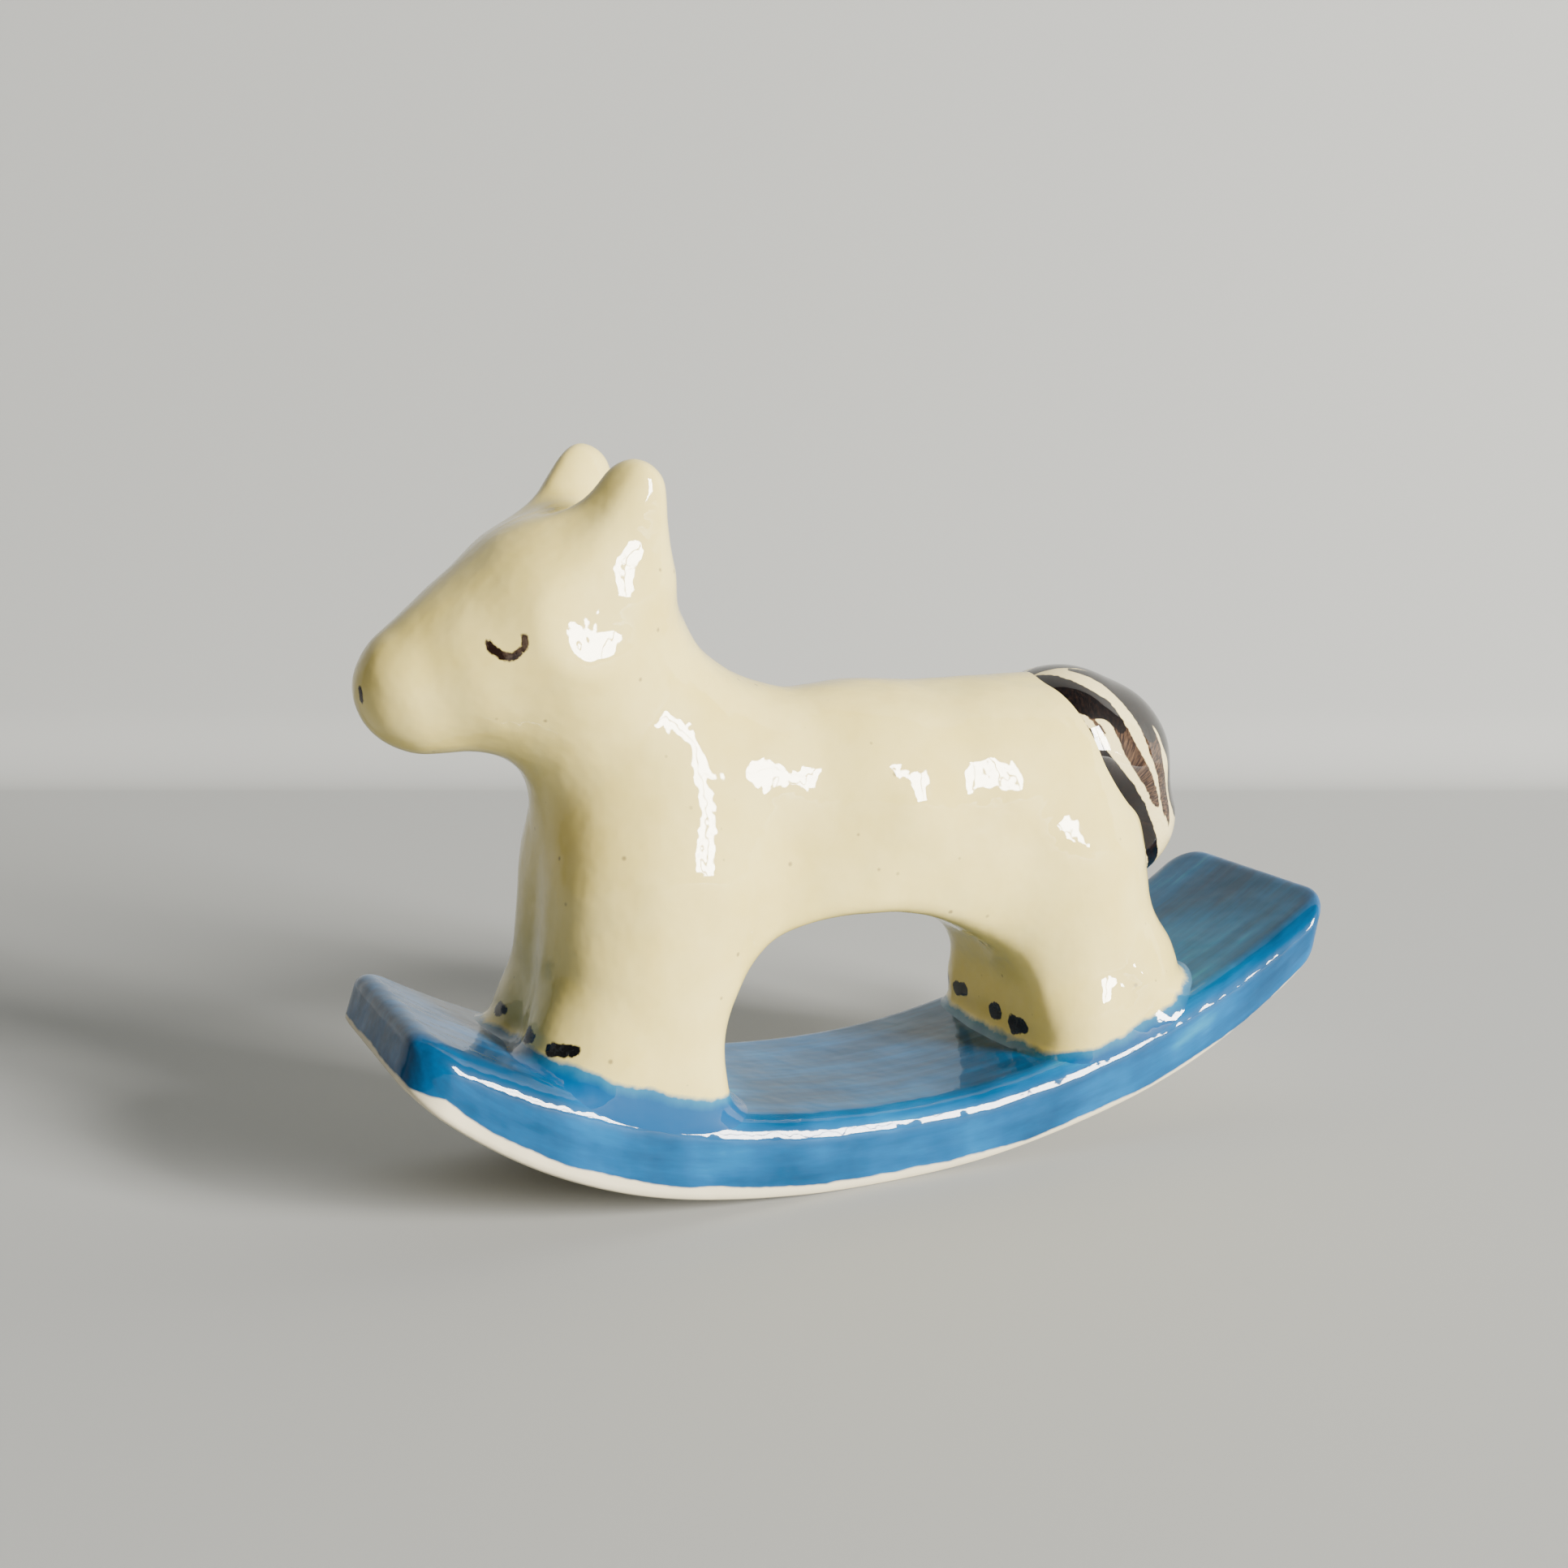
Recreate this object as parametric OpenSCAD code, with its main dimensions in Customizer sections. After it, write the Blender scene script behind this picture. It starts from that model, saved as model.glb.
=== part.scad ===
// Ceramic rocking horse: a thrown and pinched clay horse luted to a bent slab rocker.
// X runs forward to the muzzle, Y to the horse's left, Z up. The rocker rests on z = 0.

/* [Rocker] */
// Length of the slab measured along x, nose to heel; its curves grow with it
rocker_len = 112; // [92:1:140]
// Width of the slab
rocker_w = 30; // [24:1:38]
// Thickness of the slab at its middle
rocker_t = 8; // [6:0.5:10]
// Radius of the long, flat middle of the underside, for a slab 112 long
rocker_r = 118; // [105:1:135]
// Radius of the tighter curve at each end of the underside, for a slab 112 long
rocker_end_r = 62; // [54:1:72]
// Half angle of the flat middle, seen from its centre
rocker_mid_a = 13; // [10:0.5:15]
// Radius of the hollow top, for a slab 112 long
rocker_top_r = 100; // [94:1:108]
// How far behind the middle the hollow top is lowest
hollow_back = 3.2; // [0:0.2:6]
// Plan radius of the four corners
rocker_corner_r = 4; // [2:0.5:6]
// How much further the slab reaches forward than back
nose_more = 0; // [0:0.2:6]
// How far forward of the middle the rocker touches the ground
rest_x = 3.4; // [0:0.2:6]
// Nose-down lean at rest
rest_tilt = 2.8; // [0:0.2:5]

/* [Torso] */
// Distance between the rump and chest centres
torso_len = 45.3; // [38:0.5:54]
// Height of the torso's middle above the ground
torso_z = 40.3; // [38:0.5:44]
// Radius of the torso
torso_r = 12.7; // [11:0.1:15]
// Width of the torso over its depth
torso_squash = 0.95; // [0.8:0.01:1.05]

/* [Arch] */
// Longer half size of the arch under the belly
arch_a = 21.2; // [17:0.2:24]
// Shorter half size of the arch
arch_b = 15.4; // [12:0.2:17]
// Height of the arch's centre
arch_z = 13.2; // [11:0.2:15]
// Rise of the arch towards the forelegs
arch_lean = 21; // [0:1:30]

/* [Legs] */
// Distance from the middle plane to each leg's axis
leg_y = 6.1; // [5.5:0.1:7.5]
// Radius of a leg at the shoulder or hip
leg_top_r = 10.6; // [9:0.1:12]
// Radius of a leg at the ankle
leg_low_r = 9.3; // [8:0.1:10.5]
// Width of a leg over its depth
leg_squash = 0.70; // [0.6:0.01:0.8]
// Radius of the foot where it spreads on the slab
foot_r = 7.6; // [6:0.1:9]

/* [Neck and head] */
// How far the head's centre stands above the torso's middle
head_rise = 20.5; // [16:0.2:26]
// How far the head's centre stands forward of the chest's centre
head_reach = 12.6; // [9:0.2:16]
// Radius of the skull
head_r = 11.8; // [9:0.1:13]
// Distance from the skull's centre to the muzzle's
muzzle_len = 14.9; // [12:0.2:20]
// Drop of the nose below level
muzzle_drop = 19.6; // [5:0.2:35]
// Radius of the muzzle
muzzle_r = 6.9; // [5:0.1:8]
// Width of the neck and head over their depth
head_squash = 0.92; // [0.8:0.01:1]

/* [Ears] */
// Height of the right ear's tip centre above the head's centre
ear_rise = 15.2; // [11:0.1:19]
// How much lower the left ear was pinched
ear_left_short = 1.1; // [0:0.1:3]
// Distance from the middle plane to an ear's tip
ear_y = 7.8; // [6:0.1:9]
// Radius of an ear's tip
ear_tip_r = 2.9; // [2:0.1:4]

/* [Tail] */
// Radius of the tail where it caps the rump
tail_r = 9.9; // [8:0.1:11.5]
// Radius of the tail's tip
tail_tip_r = 3.9; // [2.5:0.1:5]
// Drop from the tail's widest part to its tip
tail_drop = 12.8; // [9:0.1:14]

/* [Hidden] */
// facets round a ball of clay
ball_fn = 32;
// facets round the slab's arcs where clay is trimmed to them
arc_fn = 720;

cream = [0.90, 0.86, 0.72];
blue = [0.02, 0.36, 0.62];
black = [0.10, 0.09, 0.09];

// torso
// forward shift that brings the whole horse and rocker over the origin
mid_x = 1.2;
rump_x = 0.5 - torso_len * 0.525;
chest_x = rump_x + torso_len;
rump_r = torso_r + 0.2;
chest_r = torso_r - 0.1;
web_r = torso_r * 0.677;
web_y = torso_r * 0.409;
web_z = torso_z - 9.1;
web_squash = 0.78;

// legs: shoulder, ankle, foot
fore_x = chest_x + 5.0;
hind_x = rump_x - 3.3;
shoulder = [chest_x + 3.6, leg_y - 0.1, torso_z - 7.3, leg_top_r];
fore_ankle = [fore_x, leg_y + 0.1, 18, leg_low_r];
hip = [rump_x - 1.3, leg_y - 0.1, torso_z - 7.3, leg_top_r + 0.2];
hind_ankle = [hind_x, leg_y + 0.1, 20, leg_low_r - 0.1];
// breast and haunch, where a leg spreads into the torso
breast_squash = 0.72;
foot_y = leg_y + 0.5;
foot_squash = 0.80;
fore_heel = [chest_x + 4.0, foot_y, 14, foot_r - 1.2];
fore_toe = [chest_x + 9.9, foot_y, 15.4, foot_r - 0.2];
hind_sole = [rump_x - 4.1, foot_y, 14.4, foot_r - 1.0];
hind_heel = [rump_x - 9.0, foot_y, 16.4, foot_r - 0.2];
hind_toe_in = [rump_x - 3.2, leg_y - 2.3, 12.6, foot_r - 2.0];
hind_toe_out = [rump_x - 3.6, leg_y + 2.5, 13.0, foot_r - 2.0];
// clay that fills the gap between the two legs of a pair
pair_y = 2.6;
pair_squash = 0.80;
fore_pair_top = [chest_x + 3.0, pair_y, 35, leg_top_r - 1.0];
fore_pair_low = [chest_x + 4.0, pair_y, 14, leg_low_r - 0.5];
hind_pair_top = [rump_x - 1.7, pair_y, 33, leg_top_r - 1.0];
hind_pair_low = [rump_x - 4.3, pair_y, 16, leg_low_r - 0.7];

// neck and head
head_x = chest_x + head_reach;
head_z = torso_z + head_rise;
neck_low = [chest_x + 0.5, 0, torso_z + 2.7, torso_r - 0.4];
neck_top = [head_x - 1.4, 0, head_z - 2.5, head_r - 0.5];
neck_back = [chest_x - 3.0, 0, torso_z + 3.4, torso_r - 1.2];
mane_low = [chest_x - 8.0, 0, torso_z + 3.0, torso_r - 2.3];
throat_low = [chest_x + 3.2, 0, torso_z + 1.5, torso_r - 3.0];
skull = [head_x, 0, head_z, head_r];
muzzle_x = head_x + muzzle_len * cos(muzzle_drop);
muzzle_z = head_z - muzzle_len * sin(muzzle_drop);
muzzle = [muzzle_x, 0, muzzle_z, muzzle_r];

// short rolls that build the head from skull to muzzle
head_rolls = 8;

// ears
ear_back_r = 6.0;
ear_front_r = 5.4;
ear_root_y = ear_y * 0.744;
ear_squash = 0.85;

// tail
tail_x = rump_x - 3.4;
tail_z = torso_z + 3.1;
tail_mid_z = torso_z + 1.0;
tail_squash = 0.96;

// rocker: arcs drawn about the centre of the flat middle
curve = rocker_len / 112;
mid_r = rocker_r * curve;
top_r = rocker_top_r * curve;
top_cx = -hollow_back * curve;
top_cz = mid_r - rocker_t - top_r;
nose_x = (rocker_len + nose_more) / 2;
heel_x = (rocker_len - nose_more) / 2;
// backward lean of the cut at the nose and forward lean of the cut at the heel, at the top
nose_lean = 22;
heel_lean = -16;
// depth of the hollow top below the centre
function top_depth(x) = sqrt(top_r * top_r - (x - top_cx) * (x - top_cx)) + top_cz;
reach_z = mid_r * 1.2;
wedge = tan(rocker_mid_a) * reach_z;
over = 2;
far = 300;

// one ball of clay
module ball(p, squash) {
    translate([p[0] + mid_x, p[1], p[2]])
        scale([1, squash, 1])
            sphere(r = p[3], $fn = ball_fn);
}

// a roll of clay between two balls
module roll(p, q, squash) {
    hull() {
        ball(p, squash);
        ball(q, squash);
    }
}

// mirrored copy of a place on the left
function flip(p, s) = [p[0], p[1] * s, p[2], p[3]];
// a place part of the way between two others
function between(p, q, t) = p * (1 - t) + q * t;

// cylinder lying across the horse, about the rocker's own centre
module across(r, x, z, w, fn) {
    translate([x, w / 2, z])
        rotate([90, 0, 0])
            cylinder(h = w, r = r, $fn = fn);
}

// flat prism lying across the horse, drawn in x and z
module prism(points, w) {
    translate([0, w / 2, 0])
        rotate([90, 0, 0])
            linear_extrude(height = w)
                polygon(points);
}

// puts the rocker's own centre where it stands at rest
module at_rest() {
    translate([rest_x + mid_x, 0, mid_r])
        rotate([0, rest_tilt, 0])
            children();
}

// everything above the slab's hollow top
module above_slab() {
    at_rest()
        across(top_r, top_cx, -top_cz, 4 * rocker_w, arc_fn);
}

// the opening under the belly
module arch() {
    translate([mid_x, 0, arch_z])
        rotate([0, -arch_lean, 0])
            scale([arch_a, 1, arch_b])
                rotate([90, 0, 0])
                    cylinder(h = 4 * rocker_w, r = 1, center = true, $fn = 96);
}

module torso_clay() {
    roll([rump_x, 0, torso_z - 0.5, rump_r], [0, 0, torso_z + 0.1, torso_r], torso_squash);
    roll([0, 0, torso_z + 0.1, torso_r], [chest_x, 0, torso_z + 0.5, chest_r], torso_squash);
    for (s = [-1, 1]) {
        roll([rump_x + 1.3, s * web_y, web_z + 0.3, web_r], [0, s * web_y, web_z, web_r], web_squash);
        roll([0, s * web_y, web_z, web_r], [chest_x, s * web_y, web_z - 0.2, web_r], web_squash);
        roll([rump_x, s * web_y, torso_z - 4, web_r + 1.6], [0, s * web_y, torso_z - 4, web_r + 1.4], web_squash);
        roll([0, s * web_y, torso_z - 4, web_r + 1.4], [chest_x, s * web_y, torso_z - 4, web_r + 1.4], web_squash);
    }
}

module neck_clay() {
    roll(neck_low, between(neck_low, neck_top, 0.5), head_squash);
    roll(between(neck_low, neck_top, 0.5), neck_top, head_squash);
    roll(neck_back, between(neck_low, neck_top, 0.45), head_squash);
    roll(mane_low, between(neck_low, neck_top, 0.3), head_squash);
    roll(throat_low, between(neck_low, neck_top, 0.6), head_squash);
}

module head_clay() {
    for (i = [0:head_rolls - 1])
        roll(between(skull, muzzle, i / head_rolls), between(skull, muzzle, (i + 1) / head_rolls),
             head_squash);
}

module ear_clay(s, short) {
    tip = [head_x - 5.8, s * ear_y, head_z + ear_rise - short, ear_tip_r];
    front_tip = [head_x - 4.8, s * (ear_y - 0.2), head_z + ear_rise - short - 0.4, ear_tip_r];
    back_root = [head_x - 4.1, s * ear_root_y, head_z + 6.0, ear_back_r];
    front_root = [head_x + 2.6, s * ear_y * 0.56, head_z + 3.3, ear_front_r];
    roll(back_root, tip, ear_squash);
    roll(front_root, front_tip, ear_squash);
    roll(tip, front_tip, ear_squash);
    roll(back_root, front_root, ear_squash);
}

module foreleg_clay(s) {
    roll([chest_x + 0.6, s * 4.0, torso_z - 2.0, chest_r - 1.0], flip(fore_ankle, s), breast_squash);
    roll(flip(shoulder, s), flip(fore_ankle, s), leg_squash);
    roll(flip(fore_ankle, s), flip(fore_toe, s), leg_squash);
    roll(flip(fore_pair_top, s), flip(fore_pair_low, s), pair_squash);
    roll(flip(fore_heel, s), flip(fore_toe, s), foot_squash);
}

module hindleg_clay(s) {
    roll([rump_x - 0.3, s * 4.0, torso_z - 2.5, rump_r - 0.8], flip(hind_ankle, s), breast_squash);
    roll(flip(hip, s), flip(hind_ankle, s), leg_squash);
    roll(flip(hind_ankle, s), flip(hind_heel, s), leg_squash);
    roll(flip(hind_sole, s), flip(hind_heel, s), foot_squash);
    roll(flip(hind_pair_top, s), flip(hind_pair_low, s), pair_squash);
}

module tail_clay() {
    root = [tail_x, 0, tail_z, tail_r];
    crown = [tail_x - 4.9, 0, tail_mid_z, tail_r - 0.1];
    waist = [tail_x - 8.4, 0, tail_mid_z - tail_drop * 0.55, (tail_r + tail_tip_r) * 0.55];
    tip = [tail_x - 10.4, 0, tail_mid_z - tail_drop + 2.1, tail_tip_r];
    roll(root, crown, tail_squash);
    roll(crown, waist, tail_squash);
    roll(waist, tip, tail_squash);
}

// half of space on one side of the middle plane
module side_of(s) {
    translate([-far / 2, s > 0 ? 0 : -far, -far / 2])
        cube([far, far, far]);
}

// Bent slab: a flat-bottomed curve that tightens towards both ends, hollow on top
module rocker() {
    color(blue)
        at_rest()
            difference() {
                intersection() {
                    union() {
                        intersection() {
                            across(mid_r, 0, 0, rocker_w, 360);
                            prism([[0, 0], [-wedge, -reach_z], [wedge, -reach_z]], rocker_w);
                        }
                        end_curve(1, rocker_end_r * curve);
                        end_curve(-1, rocker_end_r * curve);
                    }
                    slab_plan();
                }
                across(top_r, top_cx, -top_cz, rocker_w + 2 * over, 360);
                end_cut(1, nose_x, nose_lean);
                end_cut(-1, heel_x, heel_lean);
            }
}

// one end's tighter curve, from the flat middle outwards
module end_curve(s, r) {
    cx = (mid_r - r) * sin(rocker_mid_a);
    cz = (mid_r - r) * cos(rocker_mid_a);
    intersection() {
        across(r, s * cx, -cz, rocker_w, 360);
        prism([[0, 0], [s * wedge, -reach_z], [s * far, -reach_z], [s * far, 0]], rocker_w);
    }
}

// everything beyond one end of the slab
module end_cut(s, x, lean) {
    translate([s * x, 0, -top_depth(s * x) - 3])
        rotate([0, -s * lean, 0])
            translate([s > 0 ? 0 : -far, -rocker_w, -far / 2])
                cube([far, 2 * rocker_w, far]);
}

// outline of the slab seen from above, with rounded corners
module slab_plan() {
    reach = rocker_len / 2 + 2.4 - rocker_corner_r;
    side = rocker_w / 2 - rocker_corner_r;
    translate([nose_more / 2, 0, -mid_r - over])
        linear_extrude(height = mid_r)
            union() {
                square([2 * reach, rocker_w], center = true);
                square([2 * (reach + rocker_corner_r), 2 * side], center = true);
                for (sx = [-1, 1])
                    for (sy = [-1, 1])
                        translate([sx * reach, sy * side])
                            circle(r = rocker_corner_r, $fn = 48);
            }
}

// Barrel of the body with the arch pressed through under the belly
module torso() {
    color(cream)
        difference() {
            torso_clay();
            arch();
        }
}

// Neck, luted between the shoulders and the head
module neck() {
    color(cream)
        difference() {
            neck_clay();
            head_clay();
            torso_clay();
        }
}

// Head with the muzzle
module head() {
    color(cream)
        difference() {
            head_clay();
            torso_clay();
        }
}

module ear(s, short) {
    difference() {
        ear_clay(s, short);
        head_clay();
        neck_clay();
    }
}

// Left ear, pinched a little shorter
module ear_left() {
    color(cream)
        ear(1, ear_left_short);
}

// Right ear
module ear_right() {
    color(cream)
        ear(-1, 0);
}

module foreleg(s) {
    intersection() {
        difference() {
            foreleg_clay(s);
            torso_clay();
            neck_clay();
            head_clay();
            arch();
        }
        above_slab();
        side_of(s);
    }
}

module hindleg(s) {
    intersection() {
        union() {
            difference() {
                hindleg_clay(s);
                torso_clay();
                arch();
            }
            roll(flip(hind_toe_in, s), flip(hind_toe_out, s), 1);
        }
        above_slab();
        side_of(s);
    }
}

// Left foreleg, stuck to the slab and to its pair
module foreleg_left() {
    color(cream)
        foreleg(1);
}

// Right foreleg
module foreleg_right() {
    color(cream)
        foreleg(-1);
}

// Left hind leg
module hindleg_left() {
    color(cream)
        hindleg(1);
}

// Right hind leg
module hindleg_right() {
    color(cream)
        hindleg(-1);
}

// Tail lobe, capping the rump
module tail() {
    color(black)
        difference() {
            tail_clay();
            torso_clay();
            hindleg_clay(1);
            hindleg_clay(-1);
        }
}

rocker();
torso();
neck();
head();
ear_left();
ear_right();
foreleg_left();
foreleg_right();
hindleg_left();
hindleg_right();
tail();
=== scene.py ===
import math

import bpy
import numpy as np
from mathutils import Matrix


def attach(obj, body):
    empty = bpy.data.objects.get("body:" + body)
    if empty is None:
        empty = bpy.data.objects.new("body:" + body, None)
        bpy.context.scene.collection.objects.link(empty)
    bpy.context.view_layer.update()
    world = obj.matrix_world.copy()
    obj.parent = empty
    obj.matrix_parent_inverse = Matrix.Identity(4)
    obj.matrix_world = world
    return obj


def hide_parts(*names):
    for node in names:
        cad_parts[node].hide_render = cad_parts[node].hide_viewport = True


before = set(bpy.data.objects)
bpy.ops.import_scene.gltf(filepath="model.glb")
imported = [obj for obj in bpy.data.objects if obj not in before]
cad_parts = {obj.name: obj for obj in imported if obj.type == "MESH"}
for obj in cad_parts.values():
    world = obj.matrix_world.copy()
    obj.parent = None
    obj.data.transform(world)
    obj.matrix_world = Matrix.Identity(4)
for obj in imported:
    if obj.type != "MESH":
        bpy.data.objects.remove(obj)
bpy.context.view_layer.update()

# ---------------------------------------------------------------------------
# View, light and ground: a pale cotton-white sweep, a soft window of four panes to the
# right of the camera, and a camera held as a phone is, a hand's length and a bit away.

eye_at = (0.1007, 0.1899, 0.0843)
looks_at = (0.0097, 0.0, 0.0422)


def turned_to(position, target):
    """Euler angles that aim a camera or lamp at a target."""
    back = np.array(position, float) - np.array(target, float)
    back /= np.linalg.norm(back)
    side = np.cross((0, 0, 1), back)
    side /= np.linalg.norm(side)
    up = np.cross(back, side)
    return (
        math.atan2(up[2], back[2]),
        math.atan2(-side[2], math.hypot(up[2], back[2])),
        math.atan2(side[1], side[0]),
    )


camera = bpy.data.objects.new("camera", bpy.data.cameras.new("camera"))
camera.data.sensor_width = 36
camera.data.lens = 44.7205
camera.data.clip_start = 0.01
camera.location = eye_at
camera.rotation_euler = turned_to(eye_at, looks_at)
bpy.context.collection.objects.link(camera)
bpy.context.scene.camera = camera

# the window stands 2 m off; every pane faces the horse squarely, as panes of one sash do
window_bearing, window_height, window_far = math.radians(-31.5), math.radians(19), 2.0
window_at = window_far * np.array(
    (
        math.sin(window_bearing) * math.cos(window_height),
        math.cos(window_bearing) * math.cos(window_height),
        math.sin(window_height),
    )
)
window_side = np.array((math.cos(window_bearing), -math.sin(window_bearing), 0.0))
window_faces = np.array((0, 0, 0.035))
for pane, aside, up in (
    ("upper_left", -0.12, 0.24),
    ("upper_right", 0.12, 0.24),
    ("lower_left", -0.12, -0.23),
    ("lower_right", 0.12, -0.23),
):
    lamp = bpy.data.lights.new("pane_" + pane, "AREA")
    lamp.shape = "RECTANGLE"
    lamp.size = 0.21
    lamp.size_y = 0.44
    lamp.energy = 41
    lamp.color = (1.0, 0.96, 0.88)
    offset = window_side * aside + np.array((0, 0, up))
    holder = bpy.data.objects.new("pane_" + pane, lamp)
    holder.location = window_at + offset
    holder.rotation_euler = turned_to(window_at + offset, window_faces + offset)
    bpy.context.collection.objects.link(holder)

sky = bpy.data.worlds.new("room")
sky.use_nodes = True
sky.node_tree.nodes["Background"].inputs[0].default_value = (0.80, 0.86, 0.95, 1)
sky.node_tree.nodes["Background"].inputs[1].default_value = 0.10
bpy.context.scene.world = sky


def sheet(name, edge_a, edge_b, stuff, colour, roughness):
    """A plain sheet of the room between two edges, each a list of points."""
    mesh = bpy.data.meshes.new(name)
    n = len(edge_a)
    faces = [(i, i + 1, n + i + 1, n + i) for i in range(n - 1)]
    mesh.from_pydata([tuple(p) for p in (*edge_a, *edge_b)], [], faces)
    material = bpy.data.materials.new(stuff)
    material.use_nodes = True
    shader = material.node_tree.nodes["Principled BSDF"]
    shader.inputs["Base Color"].default_value = (*colour, 1)
    shader.inputs["Roughness"].default_value = roughness
    mesh.materials.append(material)
    made = bpy.data.objects.new(name, mesh)
    bpy.context.collection.objects.link(made)
    return made


# the sweep: level ground that curves up into a wall behind the object
view_dir = np.array(looks_at) - np.array(eye_at)
view_dir[2] = 0
view_dir /= np.linalg.norm(view_dir)
view_side = np.array((-view_dir[1], view_dir[0], 0))
near_end, bend_at, bend_r, wall_top, half_width = -1.2, 0.198, 0.016, 1.4, 1.6
profile = [(near_end + (bend_at - near_end) * i / 19, 0.0) for i in range(20)]
for i in range(1, 26):
    a = i / 25 * math.pi / 2
    profile.append((bend_at + bend_r * math.sin(a), bend_r * (1 - math.cos(a))))
profile += [(bend_at + bend_r, bend_r + (wall_top - bend_r) * i / 15) for i in range(1, 16)]
edges = [
    [view_dir * off + view_side * side + np.array((0, 0, up)) for off, up in profile]
    for side in (-half_width, half_width)
]
ground = sheet("ground", *edges, "white_cotton_ground", (0.385, 0.395, 0.395), 0.9)
ground.data.polygons.foreach_set("use_smooth", [True] * len(ground.data.polygons))

# a dark curtain behind and to the left of the camera, so the glaze facing it stays deep
curtain_far, curtain_top = 0.8, 0.62
edges = []
for up in (curtain_top, 0.0):
    bearings = [math.radians(2 + 118 * i / 24) for i in range(25)]
    edges.append([(curtain_far * math.sin(a), curtain_far * math.cos(a), up) for a in bearings])
curtain = sheet("curtain", *edges, "dark_grey_curtain", (0.09, 0.085, 0.08), 0.95)

# ---------------------------------------------------------------------------
# Rocker: a slab of clay rolled 8 mm thick, cut to a strip, bent over a form and fired.
# Blue underglaze is brushed along it and stops short of the lower edge, then glazed.


def add(tree, kind, inputs=None, **settings):
    """Adds a node to a tree with its settings, and its inputs as values or links."""
    node = tree.nodes.new(kind)
    for name, value in settings.items():
        setattr(node, name, value)
    for key, value in (inputs or {}).items():
        if isinstance(value, bpy.types.NodeSocket):
            tree.links.new(value, node.inputs[key])
        else:
            node.inputs[key].default_value = value
    return node


def linear(code):
    """Linear colour from an sRGB hex code."""
    value = []
    for i in (1, 3, 5):
        c = int(code[i : i + 2], 16) / 255
        value.append(c / 12.92 if c <= 0.04045 else ((c + 0.055) / 1.055) ** 2.4)
    return (*value, 1.0)


def clear_glaze(finish, weight, roughness):
    """Matt paint and clay below, with a clear glossy coat over them."""
    for socket, value in (
        ("Roughness", 0.45),
        ("Specular IOR Level", 0.06),
        ("Coat Weight", weight),
        ("Coat Roughness", roughness),
        ("Coat IOR", 1.52),
    ):
        finish.inputs[socket].default_value = value


slab_tree = bpy.data.node_groups.new("bent_slab", "GeometryNodeTree")
slab_sizes = {
    "Length": 0.1223,
    "Width": 0.030,
    "Thickness": 0.008,
    "Forward shift": 0.00185,
    "Middle radius": 0.118,
    "Nose radius": 0.058,
    "Heel radius": 0.067,
    "Middle half angle": math.radians(13),
    "Hollow radius": 0.100,
    "Hollow back": 0.0032,
    "Nose cut": 0.44,
    "Heel cut": -0.38,
    "Upper edge radius": 0.0026,
    "Lower edge radius": 0.0006,
    "Corner radius": 0.0052,
    "Resting point": 0.0046,
    "Lean": math.radians(2.8),
    "Unevenness": 0.0003,
    "Sideways unevenness": 0.0011,
}
slab_tree.interface.new_socket("Geometry", in_out="OUTPUT", socket_type="NodeSocketGeometry")
for name, value in slab_sizes.items():
    socket = slab_tree.interface.new_socket(name, in_out="INPUT", socket_type="NodeSocketFloat")
    socket.default_value = value
slab_tree.interface.new_socket("Glaze", in_out="INPUT", socket_type="NodeSocketMaterial")
g = slab_tree
given = g.nodes.new("NodeGroupInput").outputs


def calc(operation, a, b=0.0):
    """A sum of two numbers in the slab's tree."""
    return add(g, "ShaderNodeMath", {0: a, 1: b}, operation=operation).outputs[0]


def calc_v(operation, a, b=(0, 0, 0)):
    """A sum of two vectors in the slab's tree."""
    return add(g, "ShaderNodeVectorMath", {0: a, 1: b}, operation=operation).outputs[0]


def scaled(a, factor):
    """A vector in the slab's tree, times a number."""
    return add(g, "ShaderNodeVectorMath", {0: a, "Scale": factor}, operation="SCALE").outputs[0]


def vector(x, y, z):
    """A vector in the slab's tree from three numbers."""
    return add(g, "ShaderNodeCombineXYZ", {0: x, 1: y, 2: z}).outputs[0]


def split(a):
    """The three numbers of a vector in the slab's tree."""
    return add(g, "ShaderNodeSeparateXYZ", {0: a}).outputs


size = vector(given["Length"], given["Width"], given["Thickness"])
counts = {"Vertices X": 236, "Vertices Y": 62, "Vertices Z": 20}
block = add(g, "GeometryNodeMeshCube", {"Size": size, **counts})
spot = add(g, "GeometryNodeInputPosition").outputs[0]
# rounded edges, softer above than below: how far in and how high each level stands
level = split(spot)[2]
middle_up = calc("MULTIPLY", given["Thickness"], 0.5)
inset, height = 0.0, level
for edge_r, sign in ((given["Upper edge radius"], 1.0), (given["Lower edge radius"], -1.0)):
    into = calc("SUBTRACT", calc("MULTIPLY", level, sign), calc("SUBTRACT", middle_up, edge_r))
    into = add(g, "ShaderNodeClamp", {0: calc("DIVIDE", into, edge_r)}).outputs[0]
    round_a = calc("MULTIPLY", into, math.pi / 2)
    draw_in = calc("MULTIPLY", edge_r, calc("SUBTRACT", 1.0, calc("COSINE", round_a)))
    inset = calc("ADD", draw_in, inset)
    lift = calc("MULTIPLY", edge_r, calc("SUBTRACT", calc("SINE", round_a), into))
    height = calc("ADD", calc("MULTIPLY", lift, sign), height)
shrink = calc("SUBTRACT", 1.0, calc("DIVIDE", inset, given["Corner radius"]))
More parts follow.
